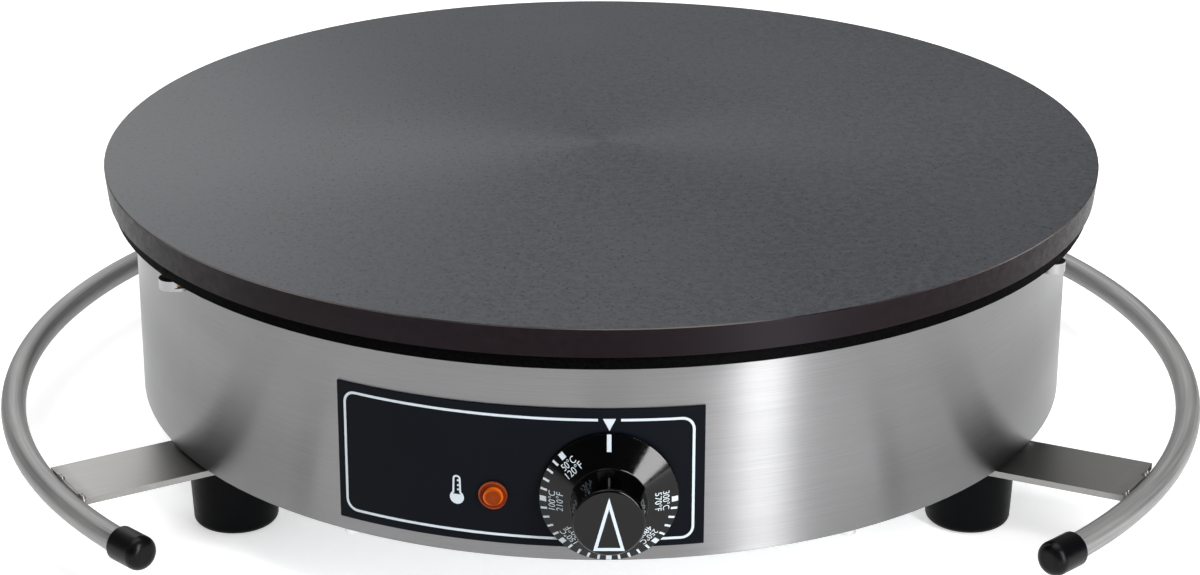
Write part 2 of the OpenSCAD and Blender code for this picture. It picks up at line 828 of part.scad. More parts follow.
module bracket_holes(i, h) {
  at_foot(i) cylinder(d = foot_bolt_d + 2 * hole_fit, h = h);
  at_bracket_screw(i) cylinder(d = m5 + 2 * hole_fit, h = h);
}

// Flat bar from under the casing to the handle tube, with the weld that joins them
module bracket(i) {
  turn = bracket_turns[i];
  weld_a = foot_angles[i] + turn - asin((foot_r * sin(turn) - bracket_shifts[i]) / weld_r);
  half_a = asin((bracket_w - weld_d) / 2 / weld_r);
  side = i % 2 == 0 ? 1 : -1;
  seam_a = [for (y = [-1, seam_end]) weld_a + side * y * half_a];
  color("#a2a2a4") difference() {
    union() {
      on_bracket(i) translate([-bracket_in, -bracket_w / 2, bracket_z])
        cube([bracket_in + weld_r - foot_r, bracket_w, bracket_t]);
      ring_sector(min(seam_a), max(seam_a))
        translate([weld_r, base_z - weld_drop]) circle(d = weld_d);
      for (y = bead_ys) polar(weld_r, weld_a + side * y * half_a)
        translate([0, 0, base_z - bead_sink]) cylinder(d1 = bead_d, d2 = bead_d / 2, h = bead_h);
    }
    rotate_extrude() translate([handle_r, tube_z]) circle(d = tube_d + 2 * fit);
    translate([0, 0, bracket_z - eps]) bracket_holes(i, bracket_t + 2 * eps);
  }
}

module front_right_bracket() {
  bracket(0);
}

module rear_right_bracket() {
  bracket(1);
}

module rear_left_bracket() {
  bracket(2);
}

module front_left_bracket() {
  bracket(3);
}

module bracket_screws() {
  color("#8f8f92") for (i = [0:3]) at_bracket_screw(i) translate([0, 0, bracket_z])
    screw(m5, bracket_t + base_t + m5_nut_h + screw_out, m5_head_d, m5_head_h);
}

module bracket_nuts() {
  color("#b8b8bb") for (i = [0:3]) at_bracket_screw(i) translate([0, 0, floor_z])
    hex_nut(m5_nut_af, m5_nut_h, m5 + 2 * fit);
}

module foot(i) {
  low_r = (foot_d - foot_taper) / 2;
  color("#161618") at_foot(i) rotate_extrude() difference() {
    union() {
      polygon([[0, foot_round], [low_r, foot_round], [foot_d / 2, foot_h], [0, foot_h]]);
      square([low_r - foot_round, foot_round]);
      intersection() {
        square([low_r, foot_round]);
        translate([low_r - foot_round, foot_round]) circle(r = foot_round);
      }
    }
    square([foot_recess_d / 2, foot_recess_h]);
    square([foot_bolt_d / 2 + hole_fit, foot_h + 1]);
  }
}

module front_right_foot() {
  foot(0);
}

module rear_right_foot() {
  foot(1);
}

module rear_left_foot() {
  foot(2);
}

module front_left_foot() {
  foot(3);
}

module foot_bolts() {
  color("#8f8f92") for (i = [0:3]) at_foot(i) {
    translate([0, 0, foot_recess_h - bolt_head_h]) linear_extrude(bolt_head_h)
      hexagon(bolt_head_af);
    translate([0, 0, foot_recess_h])
      cylinder(d = foot_bolt_d, h = floor_z + bolt_nut_h + screw_out - foot_recess_h);
  }
}

module foot_nuts() {
  color("#b8b8bb") for (i = [0:3]) at_foot(i) translate([0, 0, floor_z])
    hex_nut(bolt_head_af, bolt_nut_h, foot_bolt_d + 2 * fit);
}

// ---- Knob and thermostat ----

// Places its children on the knob's axis, with +Z out of the dial's back towards the user
module on_knob_axis(y = knob_y) {
  translate([knob_x, -y, knob_axis_z]) facing_front() children();
}

// The shaft's section, cut away above y = flat_y by its flat
module shaft_section(d, flat_y) {
  difference() {
    circle(d = d);
    translate([-d, flat_y]) square([2 * d, d]);
  }
}

// Sector of a circle of radius r about the point c, between the directions u and v
module sector(c, r, u, v) {
  intersection() {
    translate(c) circle(r = r);
    polygon([c, c + 2 * r * u, c + 2 * r * (u + v), c + 2 * r * v]);
  }
}

module thermostat_knob() {
  face_r = grip_end_d / 2;
  slope = atan((dial_h - dial_edge) / (dial_d - grip_d) * 2);
  draft = atan((grip_d - grip_end_d) / (grip_l - grip_round) / 2);
  cone_n = [sin(slope), cos(slope)];
  wall_n = [cos(draft), sin(draft)];
  edge = [dial_d / 2 - dial_round, dial_edge - dial_round * (1 - sin(slope)) / cos(slope)];
  root = [grip_d / 2, dial_h];
  mid = root + root_round * (cone_n + wall_n) / (1 + cone_n * wall_n);
  face_mid = [face_r - grip_round, knob_l - grip_round];
  color("#141416") on_knob_axis() difference() {
    rotate_extrude() {
      polygon([
        [0, 0],
        [dial_d / 2, 0],
        [dial_d / 2, edge[1]],
        edge + dial_round * cone_n,
        root,
        [face_r, face_mid[1]],
        [face_mid[0], knob_l],
        [0, knob_l]
      ]);
      sector(edge, dial_round, [1, 0], cone_n);
      sector(face_mid, grip_round, [1, 0], [0, 1]);
      difference() {
        polygon([mid - root_round * cone_n, mid, mid - root_round * wall_n, root - [1, 1]]);
        translate(mid) circle(r = root_round);
      }
    }
    translate([0, 0, -eps]) linear_extrude(shaft_in_knob + fit)
      shaft_section(shaft_d + 2 * fit, shaft_d / 2 - shaft_flat + fit);
  }
}

module thermostat_shaft() {
  body_l = knob_y - thermostat_y + shaft_in_body;
  color("#b8b8bb") on_knob_axis() {
    translate([0, 0, -body_l]) cylinder(d = shaft_d, h = body_l);
    linear_extrude(shaft_in_knob) shaft_section(shaft_d, shaft_d / 2 - shaft_flat);
  }
}

module thermostat_body() {
  neck_l = thermostat_back - neck_out;
  color("#c4c4c6") difference() {
    union() {
      translate([knob_x - thermostat_w / 2, -thermostat_y, knob_axis_z - thermostat_w / 2])
        cube([thermostat_w, thermostat_l, thermostat_w]);
      on_knob_axis(thermostat_y) cylinder(d = neck_d, h = neck_l);
    }
    on_knob_axis(thermostat_y - shaft_in_body - fit)
      cylinder(d = shaft_d + 2 * shaft_play, h = shaft_in_body + neck_l + 1);
    for (s = [-1, 1]) translate([s * thermostat_pitch / 2, 0, 0])
      on_knob_axis(thermostat_y - m4 - 2 * fit) cylinder(d = m4 + 2 * fit, h = m4 + 1);
  }
}

// Brass blade terminals: supply, heating element, pilot lamp
module thermostat_blades() {
  places = [[-blade_dx, -blade_dz], [blade_dx, blade_dz], [-blade_dx, blade_dz]];
  color("#c9a24a") for (p = places)
    translate([knob_x + p[0] - blade_w / 2, -thermostat_y + thermostat_l,
      knob_axis_z + p[1] - blade_t / 2]) cube([blade_w, blade_l, blade_t]);
}

// Stepped sheet bracket: a foot on the base plate, a step over the flange, an upright plate
module thermostat_bracket() {
  face_y = thermostat_y + plate_iron_t;
  color("#b4b4b6") difference() {
    translate([knob_x + iron_w / 2, 0, 0]) rotate([0, -90, 0]) linear_extrude(iron_w) polygon([
      [floor_z, -iron_foot_y + iron_foot_l],
      [floor_z, -iron_foot_y],
      [iron_step_z, -iron_foot_y],
      [iron_step_z, -face_y],
      [iron_top_z, -face_y],
      [iron_top_z, -thermostat_y],
      [iron_step_z + plate_iron_t, -thermostat_y],
      [iron_step_z + plate_iron_t, -iron_foot_y + plate_iron_t],
      [floor_z + plate_iron_t, -iron_foot_y + plate_iron_t],
      [floor_z + plate_iron_t, -iron_foot_y + iron_foot_l]
    ]);
    on_knob_axis(thermostat_y - 1) cylinder(d = neck_d + 2 * hole_fit, h = plate_iron_t + 2);
    for (s = [-1, 1]) {
      translate([s * thermostat_pitch / 2, 0, 0])
        on_knob_axis(thermostat_y - 1) cylinder(d = m4 + 2 * hole_fit, h = plate_iron_t + 2);
      translate([knob_x + s * thermostat_pitch / 2, -iron_screw_y, floor_z - 1])
        cylinder(d = m4 + 2 * hole_fit, h = plate_iron_t + 2);
    }
  }
}

module thermostat_screws() {
  color("#8f8f92") for (s = [-1, 1]) translate([s * thermostat_pitch / 2, 0, 0]) {
    on_knob_axis(thermostat_y + plate_iron_t)
      cylinder(d = thermostat_head_d, h = thermostat_head_h);
    on_knob_axis(thermostat_y - m4) cylinder(d = m4, h = m4 + plate_iron_t);
  }
}

// Screws that hold the thermostat's bracket and the terminal block to the base plate
module chassis_screws() {
  bracket_l = base_t + plate_iron_t + m4_nut_h + screw_out;
  block_l_in = base_t + block_h - m4;
  color("#8f8f92") for (s = [-1, 1]) {
    translate([knob_x + s * thermostat_pitch / 2, -iron_screw_y, base_z])
      screw(m4, bracket_l, m4_head_d, m4_head_h);
    translate([s * block_fix_x, block_y, base_z]) screw(m4, block_l_in, m4_head_d, m4_head_h);
  }
}

module chassis_nuts() {
  color("#b8b8bb") for (s = [-1, 1])
    translate([knob_x + s * thermostat_pitch / 2, -iron_screw_y, floor_z + plate_iron_t])
      hex_nut(m4_nut_af, m4_nut_h, m4 + 2 * fit);
}

// ---- Temperature sensor ----

module temperature_sensor() {
  color("#b87333") polar(sensor_r, sensor_a)
    translate([0, sensor_l / 2, sensor_z]) facing_front() cylinder(d = sensor_d, h = sensor_l);
}

module capillary_tube() {
  color("#b87333") swept(capillary_route, capillary_d, 4, 8);
}

// Saddle that presses the sensor to the plate, with its screw
module sensor_clip() {
  color("#b8b8bb") {
    polar(clip_radii[0], sensor_a) translate([0, -clip_w / 2, clip_z])
      cube([clip_radii[1] - clip_radii[0], clip_w, clip_t]);
    polar(clip_screw_r, sensor_a) translate([0, 0, clip_z])
      screw(m4, under_z - clip_z + m4, m4_head_d, m4_head_h);
  }
}

// ---- Heating element and insulation ----

// One continuous sheath: three open rings, two U-turns and a leg at each end
module heating_element() {
  color("#6d6a66") {
    for (r = ring_radii) translate([0, 0, element_z])
      ring_sector(gap_start, gap_end) translate([r, 0]) circle(d = element_d);
    u_turn(ring_radii[0], ring_radii[1], gap_end, 1);
    u_turn(ring_radii[1], ring_radii[2], gap_start, -1);
    element_leg(element_r, gap_start, -1);
    element_leg(ring_radii[2], gap_end, 1);
  }
}

// Bend of radius r in the XY plane that starts at [r, 0], enters what it joins at both ends
module sheath_bend(r, a) {
  over = asin(bend_in / r);
  ring_sector(-over, a + over) translate([r, 0]) circle(d = element_d - 2 * bend_step);
}

// Half ring between the rings r1 and r2 at angle a, bulging to the side s
module u_turn(r1, r2, a, s) {
  polar((r1 + r2) / 2, a) translate([0, 0, element_z]) rotate([0, 0, s > 0 ? 0 : 180])
    sheath_bend((r1 - r2) / 2, 180);
}

// Quarter bend from the ring r at angle a, on the side s, and a straight leg down
module element_leg(r, a, s) {
  polar(r, a) {
    translate([0, 0, element_z - leg_bend]) rotate([90, 0, 90]) rotate([0, s > 0 ? 0 : 180, 0])
      sheath_bend(leg_bend, 90);
    translate([0, s * leg_bend, leg_foot_z])
      cylinder(d = element_d, h = element_z - leg_bend - leg_foot_z);
  }
}

module element_pins() {
  color("#8f8f92") for (foot = [leg_1, leg_2])
    translate([foot[0], foot[1], leg_foot_z - pin_l]) cylinder(d = pin_d, h = pin_l);
}

module element_clamps() {
  inner = ring_radii[2] - clamp_over;
  outer = element_r + clamp_over;
  color("#9a9a9c") for (a = clamp_angles) rotate([0, 0, a]) difference() {
    translate([inner, -clamp_w / 2, clamp_z]) cube([outer - inner, clamp_w, clamp_t]);
    for (r = clamp_stud_radii) translate([r, 0, clamp_z - eps])
      cylinder(d = clamp_stud_d + 2 * hole_fit, h = clamp_t + 2 * eps);
  }
}

module clamp_stud_places() {
  for (a = clamp_angles, r = clamp_stud_radii) polar(r, a)
    translate([0, 0, clamp_z - clamp_nut_h]) children();
}

module clamp_studs() {
  length = under_z - boss_h + clamp_bore_h - clamp_z + clamp_nut_h;
  color("#8f8f92") clamp_stud_places() translate([0, 0, -1])
    cylinder(d = clamp_stud_d, h = length + 1);
}

module clamp_nuts() {
  color("#b8b8bb") clamp_stud_places()
    hex_nut(clamp_nut_af, clamp_nut_h, clamp_stud_d + 2 * fit);
}

module heat_shield() {
  color("#b9babc") difference() {
    rotate_extrude() polygon([
      [0, shield_bottom_z],
      [shield_r, shield_bottom_z],
      [shield_r, shield_bottom_z + shield_rim_h],
      [shield_r - shield_t, shield_bottom_z + shield_rim_h],
      [shield_r - shield_t, shield_bottom_z + shield_t],
      [0, shield_bottom_z + shield_t]
    ]);
    for (foot = [leg_1, leg_2]) translate([foot[0], foot[1], shield_bottom_z - eps])
      cylinder(d = leg_hole_d, h = shield_t + 2 * eps);
    for (a = pillar_angles) polar(pillar_r, a) translate([0, 0, shield_bottom_z - eps])
      cylinder(d = m4 + 2 * hole_fit, h = shield_t + 2 * eps);
  }
}

module insulation_mat() {
  color("#e4dfcf") difference() {
    translate([0, 0, shield_bottom_z + shield_t]) cylinder(r = mat_r, h = mat_t);
    for (foot = [leg_1, leg_2]) translate([foot[0], foot[1], shield_bottom_z])
      cylinder(d = leg_hole_d, h = mat_t + 2 * shield_t);
    for (a = pillar_angles) polar(pillar_r, a) translate([0, 0, shield_bottom_z])
      cylinder(d = m4_head_d + 2, h = mat_t + 2 * shield_t);
  }
}

module shield_pillars() {
  color("#9a9a9c") for (a = pillar_angles) polar(pillar_r, a) difference() {
    translate([0, 0, floor_z]) cylinder(d = pillar_d, h = shield_z);
    for (z = [floor_z - eps, floor_z + shield_z - pillar_bore_h])
      translate([0, 0, z]) cylinder(d = m4 + 2 * fit, h = pillar_bore_h + eps);
  }
}

module pillar_screws() {
  color("#8f8f92") for (a = pillar_angles) polar(pillar_r, a) {
    translate([0, 0, base_z]) screw(m4, base_t + pillar_bore_h - 2, m4_head_d, m4_head_h);
    translate([0, 0, shield_bottom_z + shield_t]) mirror([0, 0, 1])
      screw(m4, shield_t + pillar_bore_h - 2, m4_head_d, m4_head_h);
  }
}

// ---- Pilot lamp ----

// Places its children on the lamp's axis at radius r, with +Z pointing out of the casing
module on_lamp_axis(r) {
  rotate([0, 0, lamp_polar]) translate([r, 0, lamp_axis_z]) rotate([0, 90, 0]) children();
}

module pilot_lamp_lens() {
  color("#e08a2a") on_lamp_axis(lamp_face_r) {
    cylinder(d = lamp_d, h = lamp_flange_t);
    translate([0, 0, lamp_flange_t]) cylinder(d1 = lamp_dome_d, d2 = lamp_dome_d - 1.5, h = lamp_dome_h);
    translate([0, 0, -lamp_plug_l]) cylinder(d = lamp_plug_d, h = lamp_plug_l);
  }
}

module pilot_lamp_body() {
  color("#e8e4da") {
    on_lamp_axis(lamp_face_r - lamp_body_l) difference() {
      cylinder(d = lamp_body_d, h = lamp_body_l);
      translate([0, 0, lamp_body_l - lamp_plug_l - 2 * fit])
        cylinder(d = lamp_plug_d + 2 * fit, h = lamp_plug_l + 1);
    }
    for (s = [-1, 1]) on_lamp_axis(lamp_face_r - lamp_body_l - lamp_blade_l)
      translate([s * lamp_blade_dz - blade_t / 2, -lamp_blade_w / 2, 0])
        cube([blade_t, lamp_blade_w, lamp_blade_l + 1]);
  }
}

module pilot_lamp_clip() {
  color("#8f8f92") on_lamp_axis(inner_r - sheet_t - slide) difference() {
    cylinder(d = lamp_clip_d, h = sheet_t);
    translate([0, 0, -eps]) cylinder(d = lamp_body_d + 2 * fit, h = sheet_t + 2 * eps);
  }
}

// ---- Terminals and wires ----

module terminal_block() {
  color("#f0ece2") difference() {
    translate([-block_w / 2, block_y - block_l / 2, floor_z]) cube([block_w, block_l, block_h]);
    for (x = way_xs) {
      translate([x, block_y - block_l / 2 - 1, way_z])
        facing_rear() cylinder(d = way_d, h = block_l + 2);
      translate([x, block_y, way_z]) cylinder(d = way_screw_d + 2 * fit, h = block_h);
    }
    for (s = [-1, 1]) translate([s * block_fix_x, block_y, floor_z - eps])
      cylinder(d = m4 + 2 * fit, h = block_h - m4 + 2 * fit);
  }
}

module terminal_screws() {
  color("#c9a24a") for (x = way_xs) translate([x, block_y, way_z])
    cylinder(d = way_screw_d, h = floor_z + block_h - way_z - 1);
}

module earth_screw() {
  color("#8f8f92") translate([earth_x, earth_y, base_z])
    screw(m5, earth_screw_l, m5_head_d, m5_head_h);
}

module earth_nut() {
  color("#c9a24a") translate([earth_x, earth_y, floor_z])
    hex_nut(m5_nut_af, m5_nut_h, m5 + 2 * fit);
}

module thermostat_wires() {
  color("#7a4a2a") {
    swept(live_route, wire_d);
    swept(lamp_live_route, wire_d);
  }
}

module element_wires() {
  color("#2f5fa8") {
    swept(neutral_route, wire_d);
    swept(lamp_neutral_route, wire_d);
    swept(element_route, wire_d);
  }
}

module earth_wire() {
  color("#4d9a3a") swept(earth_route, wire_d);
}

// ---- Cable gland ----

// Places its children on the gland's axis, d in front of the casing's outer face
module on_gland_axis(d = 0) {
  translate([0, casing_r + seat + d, gland_axis_z]) facing_rear() children();
}

module gland_bore(l) {
  translate([0, 0, -1]) cylinder(d = cable_bore_d, h = l + 2);
}

module gland_body() {
  length = gland_thread_in + gland_flange_l + gland_thread_out;
  color("#1c1c1e") on_gland_axis(-gland_thread_in) difference() {
    union() {
      cylinder(d = gland_thread_d, h = length);
      translate([0, 0, gland_thread_in]) linear_extrude(gland_flange_l) hexagon(gland_af);
    }
    gland_bore(length);
  }
}

module gland_cap() {
  length = gland_l - gland_flange_l - seat;
  color("#1c1c1e") on_gland_axis(gland_flange_l) difference() {
    union() {
      cylinder(d = gland_cap_d, h = length - gland_nose_l);
      translate([0, 0, length - gland_nose_l])
        cylinder(d1 = gland_cap_d, d2 = gland_cap_d - gland_nose_l, h = gland_nose_l);
    }
    gland_bore(length);
    translate([0, 0, -eps])
      cylinder(d = gland_thread_d + 2 * fit, h = length - gland_nose_l + eps);
  }
}

module gland_seal() {
  color("#101010") on_gland_axis(gland_flange_l + gland_thread_out + fit) difference() {
    cylinder(d = gland_thread_d, h = seal_l);
    gland_bore(seal_l);
  }
}

module gland_locknut() {
  color("#2a2a2c") on_gland_axis(-sheet_t - seat - locknut_gap - locknut_t)
    hex_nut(gland_af, locknut_t, gland_thread_d + 2 * fit);
}

griddle_plate();
plate_supports();
support_studs();
support_nuts();
casing();
base_plate();
base_screws();
control_panel();
right_handle_tube();
left_handle_tube();
front_right_end_cap();
rear_right_end_cap();
rear_left_end_cap();
front_left_end_cap();
front_right_bracket();
rear_right_bracket();
rear_left_bracket();
front_left_bracket();
bracket_screws();
bracket_nuts();
front_right_foot();
rear_right_foot();
rear_left_foot();
front_left_foot();
foot_bolts();
foot_nuts();
thermostat_knob();
thermostat_shaft();
thermostat_body();
thermostat_blades();
thermostat_bracket();
thermostat_screws();
chassis_screws();
chassis_nuts();
temperature_sensor();
capillary_tube();
sensor_clip();
heating_element();
element_pins();
element_clamps();
clamp_studs();
clamp_nuts();
heat_shield();
insulation_mat();
shield_pillars();
pillar_screws();
pilot_lamp_lens();
pilot_lamp_body();
pilot_lamp_clip();
terminal_block();
terminal_screws();
earth_screw();
earth_nut();
thermostat_wires();
element_wires();
earth_wire();
gland_body();
gland_cap();
gland_seal();
gland_locknut();
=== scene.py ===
import json
import math

import bmesh
import bpy
from mathutils import Matrix, Vector


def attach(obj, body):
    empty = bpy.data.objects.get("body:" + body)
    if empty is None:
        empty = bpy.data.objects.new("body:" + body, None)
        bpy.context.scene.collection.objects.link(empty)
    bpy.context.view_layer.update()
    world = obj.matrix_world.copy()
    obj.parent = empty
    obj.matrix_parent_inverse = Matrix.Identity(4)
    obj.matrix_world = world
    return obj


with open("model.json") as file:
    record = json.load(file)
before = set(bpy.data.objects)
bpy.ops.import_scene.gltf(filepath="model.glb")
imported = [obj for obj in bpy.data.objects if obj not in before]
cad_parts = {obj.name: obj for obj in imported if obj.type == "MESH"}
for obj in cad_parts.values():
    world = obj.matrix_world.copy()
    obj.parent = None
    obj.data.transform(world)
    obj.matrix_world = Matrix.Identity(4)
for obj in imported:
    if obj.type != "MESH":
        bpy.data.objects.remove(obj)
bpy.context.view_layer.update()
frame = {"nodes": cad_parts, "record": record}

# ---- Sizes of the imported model, in millimetres and in its frame ----
MM = 0.001
CASING_R = 188.8
PANEL_R = 189.4  # outer face of the panel film
KNOB_X, KNOB_Z = 3.0, 58.1  # axis of the knob
DIAL_Y, DIAL_R, DIAL_EDGE, DIAL_H = 190.0, 25.0, 0.7, 6.4  # back, radius, edge and height of the dial's cone
GRIP_R = 13.75
FACE_Y = 211.8  # front face of the grip
LAMP_X, LAMP_Z = PANEL_R * math.sin(math.radians(-11.74)), 56.7

# ---- Where looks change, in metres ----
RIM_FOOT, TOP_FOOT = 0.1157, 0.12697  # heights where the plate's smooth rim and its top begin
EDGE_FOOT, EDGE_R = 0.1266, 0.1996  # the painted highlight along the rim's top edge lies above and outside these
WELD_START, WELD_END = 0.2320, 0.2370  # radii between which the brackets' heat tint comes in
LENS_R = 0.0055  # distance from the lamp's middle at which the lens's colours end

# ---- Prints, in millimetres ----
PROUD, SUNK = 0.05, -0.04  # how far a print stands above and reaches below its surface
PRINT_TILT, TILT_X = 0.0065, 37.0  # slope of the panel's prints, and where it is nil
SCALE_ANGLE = 0.9  # degrees on the dial for each degree C
TICK_IN, TICK_OUT, TICK_W, NUMBERED_W = 22.4, 24.7, 0.85, 2.0
POINTER_IN, POINTER_W = 19.2, 1.6  # the long bar at the dial's top
LETTER_H, LETTER_PITCH = 2.5, 1.46
CELSIUS_R, FAHRENHEIT_R = 20.45, 17.65

# ---- Camera: fitted to the photograph, in metres and pixels of a picture 1200 wide ----
PICTURE_W, FOCAL, MIDDLE_X, SENSOR = 1200.0, 3072.0, 601.03, 36.0
CAMERA_AT = (0.0, -1.18174, 0.534418)
CAMERA_RIGHT = Vector((0.9999978, 0.00077854, 0.00195035))
CAMERA_FORWARD = Vector((0.0, 0.9287388, -0.3707347))

# ---- Studio walls: degrees from the front to the right, and grey level ----
WALLS = (
    (-180, 0.85), (-158, 1.00), (-147, 0.75), (-132, 0.04), (-100, 0.18), (-80, 0.38),
    (-55, 0.46), (-38, 0.10), (-10, 0.0), (20, 0.04), (50, 0.10), (90, 0.04),
    (112, 0.0), (138, 0.0), (152, 0.08), (168, 0.40), (180, 0.85),
)
CEILING = 0.30  # grey level overhead
CEILING_FROM, CEILING_TO, CEILING_SHARE = 0.35, 0.85, 0.7  # where it comes in, as the sine of the height, and how far


def make_camera():
    up = CAMERA_RIGHT.cross(CAMERA_FORWARD).normalized()
    data = bpy.data.cameras.new("camera")
    data.sensor_width = SENSOR
    data.lens = SENSOR * FOCAL / PICTURE_W
    data.shift_x = -(MIDDLE_X - PICTURE_W / 2) / PICTURE_W
    data.clip_start, data.clip_end = 0.05, 50.0
    camera = bpy.data.objects.new("camera", data)
    bpy.context.scene.collection.objects.link(camera)
    turn = Matrix((CAMERA_RIGHT, up, -CAMERA_FORWARD)).transposed().to_4x4()
    camera.matrix_world = Matrix.Translation(CAMERA_AT) @ turn
    bpy.context.scene.camera = camera


# ---- Materials ----
class Look:
    """A procedural material round one Principled shader: plain values go on its sockets, outputs are linked."""

    def __init__(self, name, **values):
        self.material = bpy.data.materials.new(name)
        self.material.use_nodes = True
        self.tree = self.material.node_tree
        self.skin = self.tree.nodes["Principled BSDF"]
        self.place = self.add("ShaderNodeTexCoord").outputs["Object"]
        self.set(**values)

    def set(self, **values):
        for name, value in values.items():
            self.put(self.skin.inputs[name.replace("_", " ")], value)

    def put(self, socket, value):
        if isinstance(value, bpy.types.NodeSocket):
            self.tree.links.new(value, socket)
        elif value is not None:
            socket.default_value = value

    def add(self, kind, *values, **settings):
        node = self.tree.nodes.new(kind)
        for name, value in settings.items():
            setattr(node, name, value)
        for socket, value in zip(node.inputs, values):
            self.put(socket, value)
        return node

    def math(self, operation, *values):
        return self.add("ShaderNodeMath", *values, operation=operation).outputs[0]

    def plus(self, one, other):
        return self.math("ADD", one, other)

    def times(self, one, other):
        return self.math("MULTIPLY", one, other)

    def split(self, vector):
        return self.add("ShaderNodeSeparateXYZ", vector).outputs

    def join(self, x, y, z):
        return self.add("ShaderNodeCombineXYZ", x, y, z).outputs[0]

    def stretch(self, scale):
        return self.add("ShaderNodeVectorMath", self.place, scale, operation="MULTIPLY").outputs[0]

    def noise(self, vector, detail=2.0, roughness=0.5, scale=1.0):
        node = self.add("ShaderNodeTexNoise", vector)
        node.inputs["Scale"].default_value = scale
        node.inputs["Detail"].default_value = detail
        node.inputs["Roughness"].default_value = roughness
        return node.outputs["Fac"]

    def scaled(self, value, low, high, start=0.0, end=1.0):
        """The value's range from start to end, mapped to low to high and kept within it."""
        return self.add("ShaderNodeMapRange", value, start, end, low, high).outputs[0]

    def blend(self, factor, one, other):
        node = self.add("ShaderNodeMix", data_type="RGBA")
        self.put(node.inputs[0], factor)
        self.put(node.inputs[6], rgb(one))
        self.put(node.inputs[7], rgb(other))
        return node.outputs[2]

    def bump(self, height, depth, strength=1.0):
        node = self.add("ShaderNodeBump")
        node.inputs["Strength"].default_value = strength
        node.inputs["Distance"].default_value = depth
        self.put(node.inputs["Height"], height)
        return node.outputs["Normal"]

    def round_way(self):
        """The direction round the middle of the frame."""
        node = self.add("ShaderNodeVectorMath", (0, 0, 1), self.place, operation="CROSS_PRODUCT")
        return self.add("ShaderNodeVectorMath", node.outputs[0], operation="NORMALIZE").outputs[0]

    def polar(self):
        """Radius, angle from the front and height."""
        x, y, z = self.split(self.place)
        radius = self.math("SQRT", self.plus(self.times(x, x), self.times(y, y)))
        return radius, self.math("ARCTAN2", x, self.times(y, -1.0)), z


def rgb(value):
    """Gives a plain colour its alpha. An output stays as it is."""
    if isinstance(value, (tuple, list)) and len(value) == 3:
        return (*value, 1.0)
    return value


def byte(r, g, b):
    """A colour as a screen shows it, made linear."""
    return tuple(c / 255 / 12.92 if c <= 10 else ((c / 255 + 0.055) / 1.055) ** 2.4 for c in (r, g, b))


def tint(colour, factor):
    return tuple(c * factor for c in colour)


def set_stops(ramp, stops):
    """Gives a colour ramp its stops, each (place, colour)."""
    elements = ramp.color_ramp.elements
    while len(elements) < len(stops):
        elements.new(0.5)
    for element, (place, colour) in zip(elements, stops):
        element.position, element.color = place, rgb(colour)


def plain_metal(name, colour, roughness, spread=0.12, scale=400.0):
    look = Look(name, Metallic=1.0)
    cloud = look.noise(look.place, detail=4.0, scale=scale)
    fine = look.noise(look.place, detail=2.0, scale=scale * 8)
    look.set(
        Base_Color=look.blend(cloud, tint(colour, 1 - spread), tint(colour, 1 + spread)),
        Roughness=look.scaled(fine, roughness * 0.8, roughness * 1.25),
        Normal=look.bump(fine, 0.00002, 0.5),
    )
    return look.material


def moulded(name, colour, roughness, grain=1800.0, depth=0.00004, spread=0.15, **values):
    look = Look(name, **values)
    cloud = look.noise(look.place, detail=3.0, scale=90.0)
    fine = look.noise(look.place, detail=3.0, scale=grain)
    wear = look.noise(look.place, detail=2.0, scale=260.0)
    look.set(
        Base_Color=look.blend(cloud, tint(colour, 1 - spread), tint(colour, 1 + spread)),
        Roughness=look.scaled(wear, roughness * 0.85, roughness * 1.15, 0.3, 0.7),
        Normal=look.bump(fine, depth, 0.6),
    )
    return look.material


def casing_look():
    """Steel sheet with fine lines round the casing, which draw its reflections out up and down."""
    look = Look("casing_steel", Metallic=1.0, Anisotropic=0.93, Anisotropic_Rotation=0.25)
    lines = look.noise(look.stretch((30, 30, 5200)), detail=3.0, roughness=0.65)
    cloud = look.noise(look.stretch((10, 10, 26)), detail=2.0)
    look.set(
        Base_Color=look.blend(look.scaled(lines, 0, 1, 0.3, 0.7), byte(125, 125, 126), byte(138, 138, 139)),
        Roughness=look.scaled(look.plus(lines, cloud), 0.29, 0.37, 0.7, 1.3),
        Normal=look.bump(lines, 0.000003, 0.4),
        Tangent=look.round_way(),
    )
    return look.material


